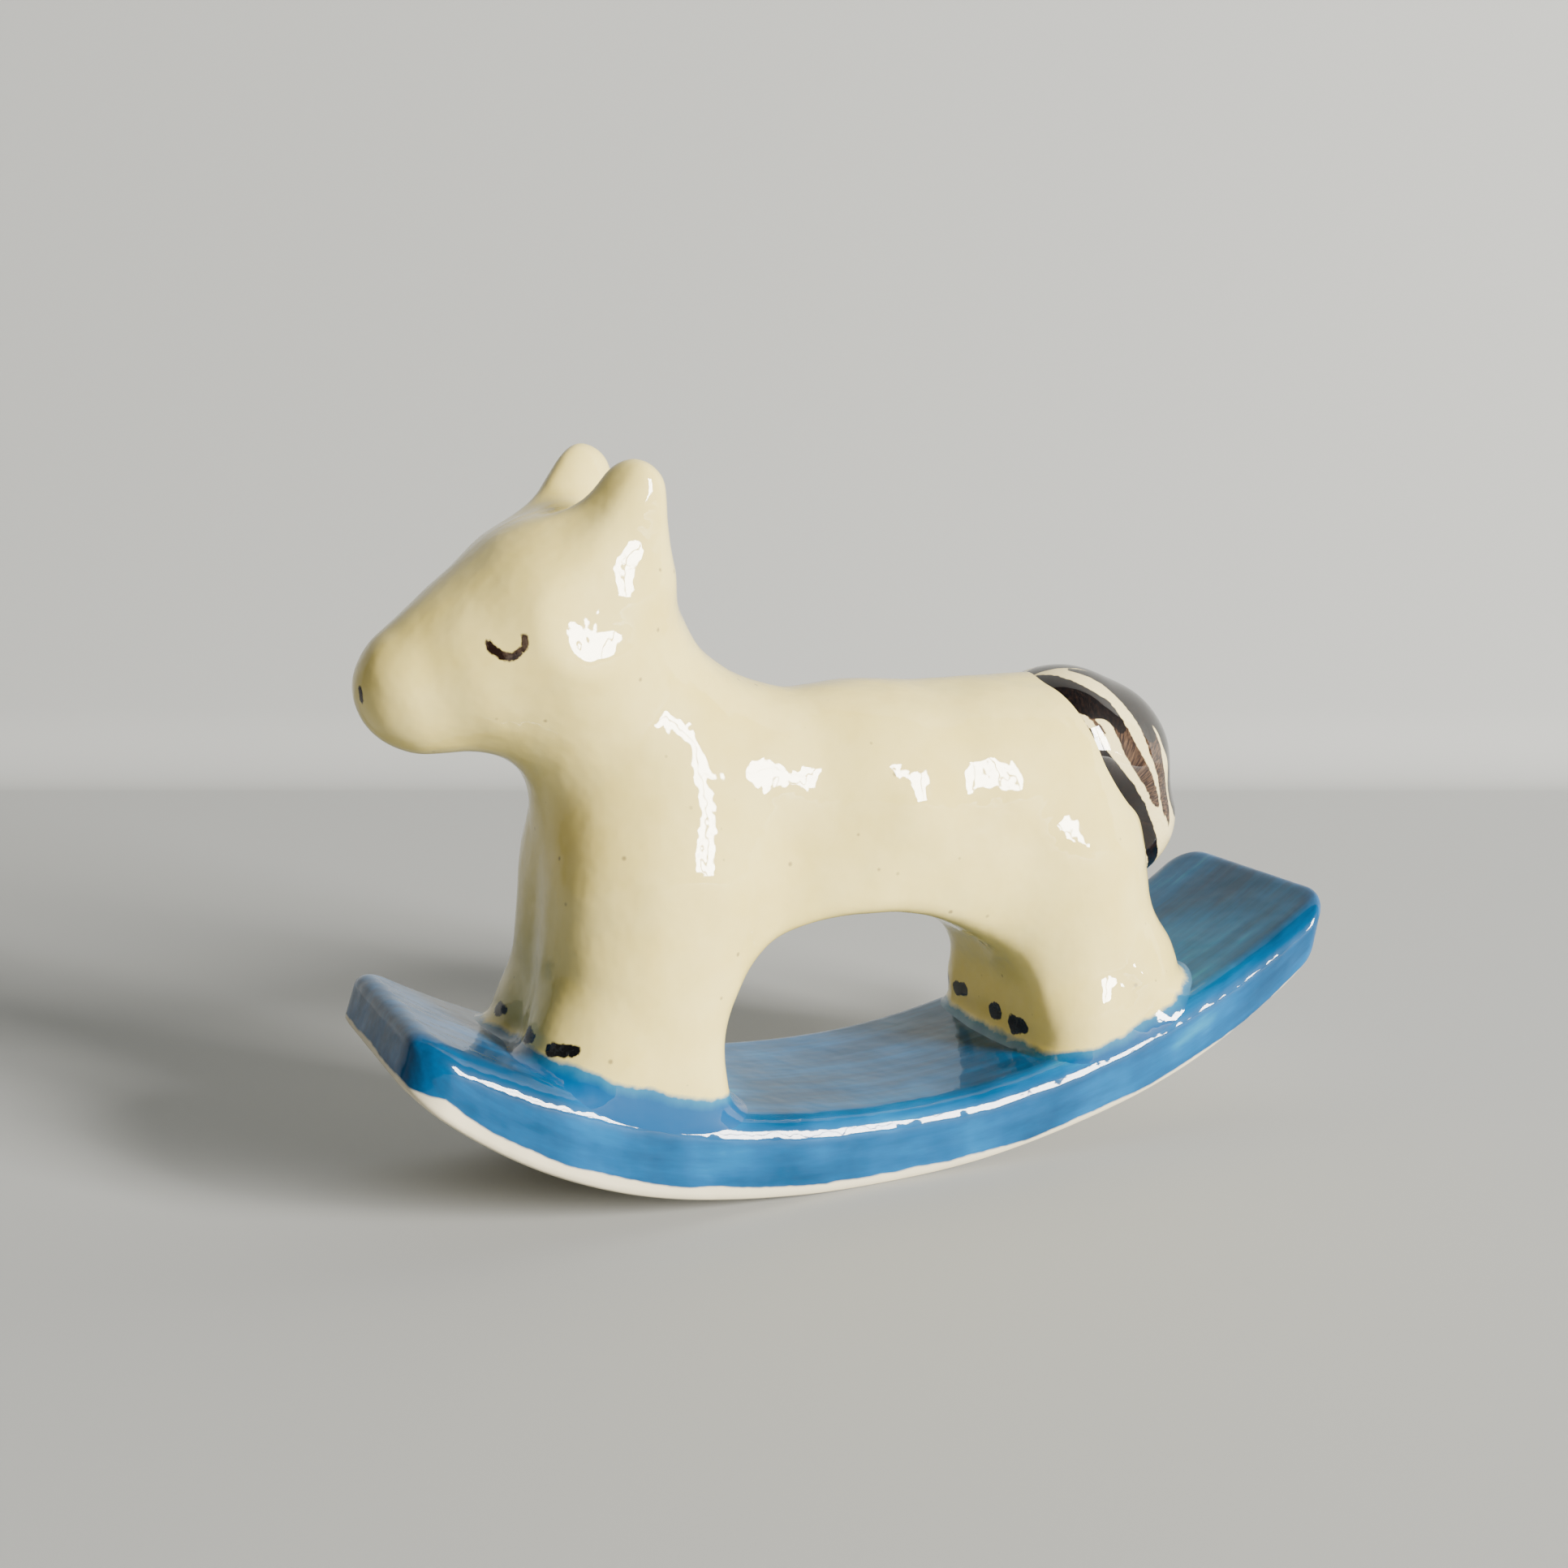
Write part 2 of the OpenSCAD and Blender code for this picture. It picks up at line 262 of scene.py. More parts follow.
# rounded corners in plan
corner = vector(given["Corner radius"], given["Corner radius"], 0.0)
inner = calc_v("SUBTRACT", scaled(size, 0.5), corner)
core = calc_v("MINIMUM", spot, inner)
core = calc_v("MAXIMUM", core, scaled(inner, -1.0))
away = calc_v("SUBTRACT", spot, core)
reach = split(calc_v("ABSOLUTE", away))
reach = calc("MAXIMUM", reach[0], reach[1])
away = scaled(calc_v("NORMALIZE", away), calc("MULTIPLY", reach, shrink))
plan = split(calc_v("ADD", core, away))
strip = vector(plan[0], plan[1], height)
# uneven width and surface, as cut and smoothed by hand
waver = {"Vector": strip, "W": 3.1, "Scale": 45.0, "Detail": 1.5}
waver = add(g, "ShaderNodeTexNoise", waver, noise_dimensions="4D").outputs["Color"]
waver = calc_v("SUBTRACT", waver, (0.5, 0.5, 0.5))
share = vector(given["Unevenness"], given["Sideways unevenness"], given["Unevenness"])
parts = split(calc_v("ADD", strip, calc_v("MULTIPLY", waver, share)))
along = calc("ADD", parts[0], given["Forward shift"])
high = calc("ADD", calc("DIVIDE", parts[2], given["Thickness"]), 0.5)
high = calc("MAXIMUM", high, 0.0)
# the bend: a flat middle arc, then a tighter arc at each end
gone = calc("ABSOLUTE", along)
way = calc("SIGN", along)
forward = calc("GREATER_THAN", along, 0.0)
end_r = {0: forward, 2: given["Heel radius"], 3: given["Nose radius"]}
end_r = add(g, "ShaderNodeMix", end_r).outputs[0]
cut_share = {0: forward, 2: given["Heel cut"], 3: given["Nose cut"]}
cut_share = add(g, "ShaderNodeMix", cut_share).outputs[0]
middle = calc("MULTIPLY", given["Middle radius"], given["Middle half angle"])
turn_mid = calc("DIVIDE", calc("MINIMUM", gone, middle), given["Middle radius"])
turn_end = calc("DIVIDE", calc("MAXIMUM", calc("SUBTRACT", gone, middle), 0.0), end_r)
turn = calc("ADD", turn_mid, turn_end)
sin_m, cos_m = calc("SINE", turn_mid), calc("COSINE", turn_mid)
sin_t, cos_t = calc("SINE", turn), calc("COSINE", turn)
low_x = calc("MULTIPLY", given["Middle radius"], sin_m)
low_x = calc("ADD", low_x, calc("MULTIPLY", end_r, calc("SUBTRACT", sin_t, sin_m)))
low_x = calc("MULTIPLY", low_x, way)
low_z = calc("MULTIPLY", given["Middle radius"], calc("SUBTRACT", 1.0, cos_m))
low_z = calc("ADD", low_z, calc("MULTIPLY", end_r, calc("SUBTRACT", cos_m, cos_t)))
# local thickness: from the underside, leaning as the ends are cut, up to the hollow top
lean = calc("MULTIPLY", calc("MULTIPLY", turn, cut_share), way)
sin_c, cos_c = calc("SINE", lean), calc("COSINE", lean)
off_x = calc("ADD", low_x, given["Hollow back"])
off_z = calc("SUBTRACT", low_z, calc("ADD", given["Thickness"], given["Hollow radius"]))
toward = calc("SUBTRACT", calc("MULTIPLY", off_z, cos_c), calc("MULTIPLY", off_x, sin_c))
past = calc("ADD", calc("MULTIPLY", off_x, off_x), calc("MULTIPLY", off_z, off_z))
past = calc("SUBTRACT", past, calc("MULTIPLY", given["Hollow radius"], given["Hollow radius"]))
half_chord = calc("SQRT", calc("MAXIMUM", calc("SUBTRACT", calc("MULTIPLY", toward, toward), past), 0.0))
thick = calc("SUBTRACT", calc("MULTIPLY", toward, -1.0), half_chord)
rise = calc("MULTIPLY", high, thick)
bent_x = calc("SUBTRACT", low_x, calc("MULTIPLY", rise, sin_c))
bent_z = calc("ADD", low_z, calc("MULTIPLY", rise, cos_c))
bent = vector(bent_x, parts[1], bent_z)
hub = vector(0.0, 0.0, given["Middle radius"])
leaning = {"Vector": bent, "Center": hub, "Axis": (0, 1, 0), "Angle": given["Lean"]}
leant = add(g, "ShaderNodeVectorRotate", leaning).outputs[0]
rests = calc_v("ADD", leant, vector(given["Resting point"], 0.0, 0.0))
# millimetres along, across and up the strip, for the brushwork
brush_at = scaled(vector(along, parts[1], rise), 1000.0)
kept = add(
    g,
    "GeometryNodeStoreNamedAttribute",
    {"Geometry": block.outputs["Mesh"], "Name": "strip_mm", "Value": brush_at},
    data_type="FLOAT_VECTOR",
    domain="POINT",
).outputs[0]
moved = add(g, "GeometryNodeSetPosition", {"Geometry": kept, "Position": rests}).outputs[0]
smooth = add(g, "GeometryNodeSetShadeSmooth", {"Geometry": moved, "Shade Smooth": True}).outputs[0]
real = add(g, "GeometryNodeRealizeInstances", {0: smooth}).outputs[0]
glazed = add(g, "GeometryNodeSetMaterial", {"Geometry": real, "Material": given["Glaze"]}).outputs[0]
add(g, "NodeGroupOutput", {0: glazed})

# Blue underglaze under clear glossy glaze, on earthenware: a saturated azure where the
# brush was full, chalky teal streaks where it dragged thin, bare cream clay below.
blue_glaze = bpy.data.materials.new("blue_underglaze_under_clear_glaze")
blue_glaze.use_nodes = True
m = blue_glaze.node_tree
finish = m.nodes["Principled BSDF"]
strip_mm = add(m, "ShaderNodeAttribute", attribute_name="strip_mm").outputs["Vector"]
# brush streaks, about 2.5 mm wide and 22 mm long
drag = {0: strip_mm, 1: (0.045, 0.40, 0.30)}
drag = add(m, "ShaderNodeVectorMath", drag, operation="MULTIPLY").outputs[0]
streak = {"Vector": drag, "Scale": 1.0, "Detail": 5.0, "Roughness": 0.62}
streak = add(m, "ShaderNodeTexNoise", streak).outputs[0]
# pools, about 12 mm across
pool = add(m, "ShaderNodeTexNoise", {"Vector": strip_mm, "Scale": 0.085, "Detail": 3.0}).outputs[0]
load = add(m, "ShaderNodeMath", {0: streak, 1: pool}, operation="ADD").outputs[0]
# thinner within 5 mm of the feet
near_foot = add(m, "ShaderNodeAttribute", attribute_name="from_clay_mm").outputs["Fac"]
near_foot = add(m, "ShaderNodeMapRange", {0: near_foot, 1: 0.0, 2: 5.0, 3: 0.22, 4: 0.0}).outputs[0]
load = add(m, "ShaderNodeMath", {0: load, 1: near_foot}, operation="ADD").outputs[0]
load = add(m, "ShaderNodeMapRange", {0: load, 1: 0.80, 2: 1.62}).outputs[0]
ramp = add(m, "ShaderNodeValToRGB", {0: load})
ramp.color_ramp.elements[0].position = 0.0
ramp.color_ramp.elements[0].color = linear("#003A60")
ramp.color_ramp.elements[1].position = 1.0
ramp.color_ramp.elements[1].color = linear("#74B2B4")
for spot, code in ((0.34, "#004F80"), (0.52, "#005C90"), (0.68, "#14749E"), (0.84, "#3C8DA6")):
    ramp.color_ramp.elements.new(spot).color = linear(code)
# bare lower edge: about 2 mm along the side by the nose, a thread at the heel and ends
on_strip = add(m, "ShaderNodeSeparateXYZ", {0: strip_mm}).outputs
band = add(m, "ShaderNodeMapRange", {0: on_strip[0], 1: -58.0, 2: 58.0, 3: 0.3, 4: 2.0}).outputs[0]
ends = add(m, "ShaderNodeMapRange", {0: on_strip[0], 1: 58.5, 2: 62.0, 3: 1.0, 4: 0.3}).outputs[0]
band = add(m, "ShaderNodeMath", {0: band, 1: ends}, operation="MULTIPLY").outputs[0]
border = {"Vector": strip_mm, "Scale": 0.09, "Detail": 4.0, "Roughness": 0.6}
border = add(m, "ShaderNodeTexNoise", border).outputs[0]
border = add(m, "ShaderNodeMapRange", {0: border, 1: 0.3, 2: 0.7, 3: -0.3, 4: 0.3}).outputs[0]
band = add(m, "ShaderNodeMath", {0: band, 1: border}, operation="ADD").outputs[0]
over = add(m, "ShaderNodeMath", {0: on_strip[2], 1: band}, operation="SUBTRACT").outputs[0]
painted = add(m, "ShaderNodeMapRange", {0: over, 1: -0.1, 2: 0.14}).outputs[0]
bare = add(m, "ShaderNodeRGB").outputs[0]
bare.default_value = linear("#DDD3B4")
colour = add(m, "ShaderNodeMix", {0: painted, 6: bare, 7: ramp.outputs[0]}, data_type="RGBA").outputs[2]
m.links.new(colour, finish.inputs["Base Color"])
# glaze lies in soft waves over the paint, about 5 mm apart and a few hundredths high
wave = add(m, "ShaderNodeTexNoise", {"Vector": strip_mm, "Scale": 0.21, "Detail": 2.0}).outputs[0]
wave = add(m, "ShaderNodeBump", {"Height": wave, "Strength": 1.0, "Distance": 0.00022}).outputs[0]
m.links.new(wave, finish.inputs["Normal"])
m.links.new(wave, finish.inputs["Coat Normal"])
clear_glaze(finish, 0.7, 0.04)

rocker_maker = bpy.data.objects.new("rocker_maker", bpy.data.meshes.new("rocker_maker"))
bpy.context.collection.objects.link(rocker_maker)
bend = rocker_maker.modifiers.new("bend", "NODES")
bend.node_group = slab_tree
for socket in slab_tree.interface.items_tree:
    if socket.name in slab_sizes:
        bend[socket.identifier] = slab_sizes[socket.name]
    elif socket.name == "Glaze":
        bend[socket.identifier] = blue_glaze
settled = rocker_maker.evaluated_get(bpy.context.evaluated_depsgraph_get())
rocker_mesh = bpy.data.meshes.new_from_object(settled)
rocker = bpy.data.objects.new("glazed_rocker", rocker_mesh)
bpy.context.collection.objects.link(rocker)
bpy.data.objects.remove(rocker_maker)
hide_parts("rocker")
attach(rocker, "root")

# ---------------------------------------------------------------------------
# Horse: rolls and pinches of cream earthenware luted together and smoothed with a wet
# finger until no join shows, then painted, dipped in clear glaze and fired as one.


def roll(points, start, end, r_start, r_end, squash=1.0):
    """Distance in mm from points to a tapering roll of clay between two balls."""
    start = np.array(start, float) * (1, 1 / squash, 1)
    end = np.array(end, float) * (1, 1 / squash, 1)
    spread = points * np.array((1, 1 / squash, 1), points.dtype)
    axis = (end - start).astype(points.dtype)
    length2 = float(axis @ axis)
    taper = r_start - r_end
    slope2 = length2 - taper * taper
    from_start = spread - start.astype(points.dtype)
    y = from_start @ axis
    z = y - length2
    x2 = ((from_start * length2 - axis * y[:, None]) ** 2).sum(1)
    y2, z2 = y * y * length2, z * z * length2
    k = np.sign(taper) * taper * taper * x2
    far = np.where(
        np.sign(z) * slope2 * z2 > k,
        np.sqrt(x2 + z2) / length2 - r_end,
        np.where(
            np.sign(y) * slope2 * y2 < k,
            np.sqrt(x2 + y2) / length2 - r_start,
            (np.sqrt(x2 * slope2 / length2) + y * taper) / length2 - r_start,
        ),
    )
    return far * (min(squash, 1.0) * 0.5 + 0.5)


def luted(a, b, blend):
    """Two lumps joined with a fillet of about that many mm."""
    h = np.clip(0.5 + 0.5 * (b - a) / blend, 0, 1)
    return b + (a - b) * h - blend * h * (1 - h)


def cut(a, b, blend):
    """A lump with another pressed out of it, leaving a soft edge."""
    return -luted(-a, b, blend)


def lumps(points, size, seed):
    """Smooth random swelling, -1 to 1, for the unevenness that fingers leave."""
    table = np.random.default_rng(seed).uniform(-1, 1, (16, 16, 16)).astype(np.float32)
    cell = points / size + 37.3
    low = np.floor(cell).astype(int)
    t = (cell - low).astype(np.float32)
    t = t * t * t * (t * (t * 6 - 15) + 10)
    total = 0
    for dx in (0, 1):
        for dy in (0, 1):
            for dz in (0, 1):
                w = (t[:, 0] if dx else 1 - t[:, 0]) * (t[:, 1] if dy else 1 - t[:, 1])
                w = w * (t[:, 2] if dz else 1 - t[:, 2])
                at = (low + (dx, dy, dz)) % 16
                total = total + w * table[at[:, 0], at[:, 1], at[:, 2]]
    return total


# the horse is modelled in mm, from a point this far ahead of the middle of the frame
clay_ahead = 1.2


def slab_top(points):
    """Height in mm over the slab's hollow top."""
    lean, hub_up = slab_sizes["Lean"], 1000 * slab_sizes["Middle radius"]
    hollow_r, thick_mm = 1000 * slab_sizes["Hollow radius"], 1000 * slab_sizes["Thickness"]
    dx = points[:, 0] - (1000 * slab_sizes["Resting point"] - clay_ahead)
    dz = points[:, 2] - hub_up
    x = math.cos(lean) * dx - math.sin(lean) * dz
    z = math.sin(lean) * dx + math.cos(lean) * dz
    return hollow_r - np.hypot(x + 1000 * slab_sizes["Hollow back"], z + hub_up - thick_mm - hollow_r)


def slab(points):
    """Distance in mm from the slab's top and sides, with the edge between them rounded."""
    rounding, half_wide = 1000 * slab_sizes["Upper edge radius"], 500 * slab_sizes["Width"]
    over, aside = slab_top(points) + rounding, np.abs(points[:, 1]) - half_wide + rounding
    corner = np.hypot(np.maximum(over, 0), np.maximum(aside, 0))
    return np.minimum(np.maximum(over, aside), 0) + corner - rounding


def arch(points):
    """Distance in mm outside the leaning oval that opens below the belly."""
    lean, a, b = 0.37, 21.2, 15.4
    dx, dz = points[:, 0] - 0.1, points[:, 2] - 13.2
    u = (math.cos(lean) * dx + math.sin(lean) * dz) / a
    v = (-math.sin(lean) * dx + math.cos(lean) * dz) / b
    k = np.hypot(u, v)
    return k * (k - 1) / (np.hypot(u / a, v / b) + 1e-9)


def horse_clay(points):
    """Distance in mm outside the horse's clay, from nose to soles, without its tail."""
    # both sides alike, with no crease where they meet
    side = points.copy()
    side[:, 1] = np.sqrt(side[:, 1] ** 2 + 4) - 0.3
    # the belly swells sideways a little behind the middle
    swell = side.copy()
    off = np.clip(points[:, 0], -31, 18) + 11
    swell[:, 1] /= 1.03 - np.where(off > 0, 0.00023, 0.0007) * off**2
    body = roll(swell, (-23.3, 0, 39.8), (0, 0, 40.2), 12.9, 12.6, 0.95)
    body = luted(body, roll(swell, (0, 0, 40.2), (22.0, 0, 40.8), 12.6, 12.6, 0.95), 3)
    flank = roll(swell, (-22.0, 5.2, 31.5), (22.0, 5.2, 31.0), 8.6, 8.6, 0.78)
    body = luted(body, flank, 4)
    neck = roll(points, (22.5, 0, 43), (33, 0, 58), 12.3, 10.8, 0.88)
    head = roll(points, (34.6, 0, 60.8), (48.6, 0, 55.8), 11.8, 6.9, 0.92)
    cheek = roll(side, (36.0, 3.4, 60.6), (41.5, 2.4, 58.4), 9.4, 7.5)
    head = luted(luted(head, cheek, 2), neck, 4.5)
    head = cut(head, 20.6 - side @ np.array((-0.125, 0.967, 0.222)), 0.8)
    body = luted(body, head, 6)
    fore = roll(side, (25.6, 6.0, 33), (27.0, 6.2, 18), 10.6, 9.4, 0.70)
    hind = roll(side, (-24.2, 6.0, 30.5), (-26.6, 6.2, 20), 10.2, 9.2, 0.70)
    between = roll(points, (25.4, 0, 35), (29.0, 0, 13), 10.5, 10.0, 1.25)
    between = np.minimum(between, roll(points, (-25.0, 0, 33), (-27.6, 0, 16), 9.6, 8.6, 0.95))
    legs = luted(np.minimum(fore, hind), between, 6)
    fore_foot = roll(side, (26.0, 6.6, 14.0), (33.0, 6.7, 15.9), 6.4, 7.5, 0.84)
    hind_foot = roll(side, (-26.6, 6.6, 12.6), (-32.3, 6.6, 16.4), 6.6, 7.4, 0.80)
    legs = luted(legs, np.minimum(fore_foot, hind_foot), 4)
    # soles spread out to the slab's sides
    fore_sole = roll(side, (24.6, 8.2, 12.0), (32.6, 8.0, 14.0), 5.6, 6.0, 0.93)
    hind_sole = roll(side, (-26.5, 8.0, 12.0), (-31.5, 7.9, 14.6), 5.5, 5.8, 0.93)
    legs = luted(legs, np.minimum(fore_sole, hind_sole), 3)
    body = luted(body, legs, 4)
    body = cut(body, arch(points), 2.0)
    toes = roll(side, (-24.4, 2.6, 13.0), (-24.6, 8.2, 13.4), 5.6, 5.3)
    body = luted(body, toes, 3.5)
    ears = side.copy()
    ears[:, 2] += np.where(points[:, 1] > 0, 1.1, 0.0) * np.clip((side[:, 2] - 64) / 11, 0, 1)
    ear = roll(ears, (30.3, 5.8, 67.0), (28.6, 7.8, 76.0), 6.0, 2.9, 0.85)
    ear = luted(ear, roll(ears, (36.8, 4.4, 63.7), (30.0, 7.5, 75.4), 5.4, 2.9, 0.85), 2.5)
    # pressed flat in front and at the side, with a ridge between
    ear = cut(ear, 59.2 - ears @ np.array((0.715, 0.557, 0.42)), 1.6)
    ear = cut(ear, 13.2 - ears @ np.array((0.0, 0.999, 0.039)), 1.2)
    return luted(body, ear, 3.6)


def horse_shape(points):
    """Distance in mm outside the horse as fired: dented, luted to the slab, trimmed there."""
    clay = horse_clay(points) + 0.18 * lumps(points, 7.0, 5) + 0.06 * lumps(points, 3.6, 9)
    base = slab(points)
    skirt = luted(clay, base + 0.25, 3.0)
    skirt = np.maximum(skirt, clay - 3.0)
    skirt = cut(skirt, 14.85 - np.abs(points[:, 1]), 0.8)
    return np.maximum(skirt, -(base + 1.1))


def shell(shape, low, high, step):
    """Closed quad mesh of the surface where shape is zero: vertices, quads, in mm."""
    count = [int(np.ceil((b - a) / step)) + 1 for a, b in zip(low, high)]
    ax = [low[i] + step * np.arange(count[i]) for i in range(3)]
    field = np.empty(count, np.float32)
    layer = np.stack(np.meshgrid(ax[1], ax[2], indexing="ij"), -1).reshape(-1, 2)
    for i in range(0, count[0], 12):
        xs = ax[0][i : i + 12]
        grid = np.empty((len(xs), len(layer), 3), np.float32)
        grid[..., 0] = xs[:, None]
        grid[..., 1:] = layer
        field[i : i + 12] = shape(grid.reshape(-1, 3)).reshape(len(xs), count[1], count[2])
    inside = field < 0
    cells = [n - 1 for n in count]
    total = np.zeros((*cells, 3), np.float32)
    hits = np.zeros(cells, np.float32)
    for axis in range(3):
        o = [a for a in range(3) if a != axis]
        head, tail = [slice(None)] * 3, [slice(None)] * 3
        head[axis], tail[axis] = slice(0, -1), slice(1, None)
        a, b = field[tuple(head)], field[tuple(tail)]
        crossed = inside[tuple(head)] != inside[tuple(tail)]
        t = np.where(crossed, a / np.where(crossed, a - b, 1), 0)
        for da in (0, 1):
            for db in (0, 1):
                part = [slice(None)] * 3
                part[o[0]] = slice(da, da + cells[o[0]])
                part[o[1]] = slice(db, db + cells[o[1]])
                c = crossed[tuple(part)]
                hits += c
                total[..., axis] += t[tuple(part)]
                total[..., o[0]] += c * da
                total[..., o[1]] += c * db
    used = hits > 0
    number = -np.ones(cells, np.int64)
    number[used] = np.arange(used.sum())
    points = (np.argwhere(used) + total[used] / hits[used][:, None]) * step + np.array(low)
    quads = []
    for axis in range(3):
        o = [(axis + 1) % 3, (axis + 2) % 3]
        head, tail = [slice(None)] * 3, [slice(None)] * 3
        head[axis], tail[axis] = slice(0, -1), slice(1, None)
        at = np.argwhere(inside[tuple(head)] != inside[tuple(tail)])
        whole = [(at[:, a] > 0) & (at[:, a] < cells[a]) for a in o]
        at = at[whole[0] & whole[1]]
        e0, e1 = np.zeros(3, int), np.zeros(3, int)
        e0[o[0]], e1[o[1]] = 1, 1
        quad = np.stack([number[tuple((at - e).T)] for e in (e0 + e1, e1, 0 * e0, e0)], 1)
        back = ~inside[tuple(head)][tuple(at.T)]
        quad[back] = quad[back][:, ::-1]
        quads.append(quad)
    # three steps bring every vertex onto the surface
    probe = 0.02
    for _ in range(3):
        value = shape(points)
        slope = [shape(points + d) - shape(points - d) for d in probe * np.eye(3)]
        slope = np.stack(slope, 1) / (2 * probe)
        move = slope * (value / np.maximum((slope**2).sum(1), 0.05))[:, None]
        points = points - np.clip(move, -step / 2, step / 2)
    return points, np.vstack(quads)


def clay_object(name, points, quads, material):
    """A smooth-shaded piece from vertices in mm, moved to where the horse stands."""
    mesh = bpy.data.meshes.new(name)
    mesh.vertices.add(len(points))
    metres = (points + (clay_ahead, 0, 0)) / 1000
    mesh.vertices.foreach_set("co", metres.astype(np.float32).ravel())
    mesh.loops.add(quads.size)
    mesh.loops.foreach_set("vertex_index", quads.astype(np.int32).ravel())
    mesh.polygons.add(len(quads))
    mesh.polygons.foreach_set("loop_start", np.arange(0, quads.size, 4, dtype=np.int32))
    mesh.update(calc_edges=True)
    mesh.validate()
    mesh.polygons.foreach_set("use_smooth", [True] * len(mesh.polygons))
    mesh.materials.append(material)
    piece = bpy.data.objects.new(name, mesh)
    bpy.context.collection.objects.link(piece)
    return piece


def note(piece, name, values):
    """Keeps one number for each vertex of a piece, for its paint."""
    kept = piece.data.attributes.new(name, "FLOAT", "POINT")
    kept.data.foreach_set("value", np.ascontiguousarray(values, np.float32))


def brushed(points, strokes):
    """Distance in mm outside the nearest brush stroke; strokes are x, y, z, half width."""
    far_off = 9.0
    best = np.full(len(points), far_off)
    for stroke in strokes:
        stroke = np.array(stroke, float)
        for (*a, wa), (*b, wb) in zip(stroke[:-1], stroke[1:]):
            a, d = np.array(a), np.array(b) - a
            t = np.clip((points - a) @ d / (d @ d), 0, 1)
            gap = np.sqrt(((points - a - t[:, None] * d) ** 2).sum(1)) - (wa + (wb - wa) * t)
            best = np.minimum(best, gap)
    return best


# Cream earthenware under clear glaze: warm ivory, faintly mottled, with fine iron specks,
# dark brown brush lines, black hoof marks, and blue that has crept up round the feet.
cream_glaze = bpy.data.materials.new("cream_earthenware_under_clear_glaze")
cream_glaze.use_nodes = True
m = cream_glaze.node_tree
finish = m.nodes["Principled BSDF"]
where = add(m, "ShaderNodeTexCoord").outputs["Object"]
where_mm = add(m, "ShaderNodeVectorMath", {0: where, "Scale": 1000.0}, operation="SCALE").outputs[0]
# mottling, about 7 mm
mottle = {"Vector": where_mm, "Scale": 0.14, "Detail": 4.0, "Roughness": 0.6}
mottle = add(m, "ShaderNodeTexNoise", mottle).outputs[0]
clay = {0: mottle, 6: linear("#DCC668"), 7: linear("#EDDE94")}
clay = add(m, "ShaderNodeMix", clay, data_type="RGBA").outputs[2]
# iron specks, about 0.25 mm across and 2.4 mm apart
cell = add(m, "ShaderNodeTexVoronoi", {"Vector": where_mm, "Scale": 0.42}, feature="F1")
chance = add(m, "ShaderNodeSeparateColor", {0: cell.outputs["Color"]}).outputs[0]
speck_r = add(m, "ShaderNodeMapRange", {0: chance, 1: 0.45, 2: 1.0, 3: 0.0, 4: 0.13}).outputs[0]
speck = {0: cell.outputs["Distance"], 1: speck_r}
speck = add(m, "ShaderNodeMath", speck, operation="SUBTRACT").outputs[0]
speck = add(m, "ShaderNodeMapRange", {0: speck, 1: -0.07, 2: 0.02, 3: 0.85, 4: 0.0}).outputs[0]
clay = add(m, "ShaderNodeMix", {0: speck, 6: clay, 7: linear("#94855A")}, data_type="RGBA").outputs[2]
# blue at the feet
over_slab = add(m, "ShaderNodeAttribute", attribute_name="over_slab_mm").outputs["Fac"]
creep = {"Vector": where_mm, "Scale": 0.22, "Detail": 4.0, "Roughness": 0.55}
creep = add(m, "ShaderNodeTexNoise", creep).outputs[0]
creep = add(m, "ShaderNodeMapRange", {0: creep, 1: 0.3, 2: 0.7, 3: 0.0, 4: 0.9}).outputs[0]
over = add(m, "ShaderNodeMath", {0: over_slab, 1: creep}, operation="SUBTRACT").outputs[0]
wash = add(m, "ShaderNodeMapRange", {0: over, 1: -0.25, 2: 0.3, 3: 1.0, 4: 0.0}).outputs[0]
thin = add(m, "ShaderNodeMapRange", {0: over, 1: -1.3, 2: 0.2, 3: 0.0, 4: 1.0}).outputs[0]
thin = add(m, "ShaderNodeMath", {0: thin, 1: mottle}, operation="MULTIPLY").outputs[0]
blue = {0: thin, 6: linear("#004A7C"), 7: linear("#3F93AC")}
blue = add(m, "ShaderNodeMix", blue, data_type="RGBA").outputs[2]
clay = add(m, "ShaderNodeMix", {0: wash, 6: clay, 7: blue}, data_type="RGBA").outputs[2]
# brush lines and hoof marks: soft-edged by the glaze, thin in places
fray = add(m, "ShaderNodeTexNoise", {"Vector": where_mm, "Scale": 1.6, "Detail": 3.0}).outputs[0]
fray = add(m, "ShaderNodeMapRange", {0: fray, 1: 0.25, 2: 0.75, 3: -0.13, 4: 0.13}).outputs[0]
for mark, dark, pale in (("line_mm", "#1C0F0B", "#5A4B40"), ("hoof_mm", "#08080A", "#36393C")):
    edge = add(m, "ShaderNodeAttribute", attribute_name=mark).outputs["Fac"]
    edge = add(m, "ShaderNodeMath", {0: edge, 1: fray}, operation="ADD").outputs[0]
    there = add(m, "ShaderNodeMapRange", {0: edge, 1: -0.08, 2: 0.08, 3: 1.0, 4: 0.0}).outputs[0]
    worn = {"Vector": where_mm, "Scale": 0.55, "Detail": 5.0, "Roughness": 0.7}
    worn = add(m, "ShaderNodeTexNoise", worn).outputs[0]
    worn = add(m, "ShaderNodeMapRange", {0: worn, 1: 0.48, 2: 0.72}).outputs[0]
    ink = {0: worn, 6: linear(dark), 7: linear(pale)}
    ink = add(m, "ShaderNodeMix", ink, data_type="RGBA").outputs[2]
    clay = add(m, "ShaderNodeMix", {0: there, 6: clay, 7: ink}, data_type="RGBA").outputs[2]
m.links.new(clay, finish.inputs["Base Color"])
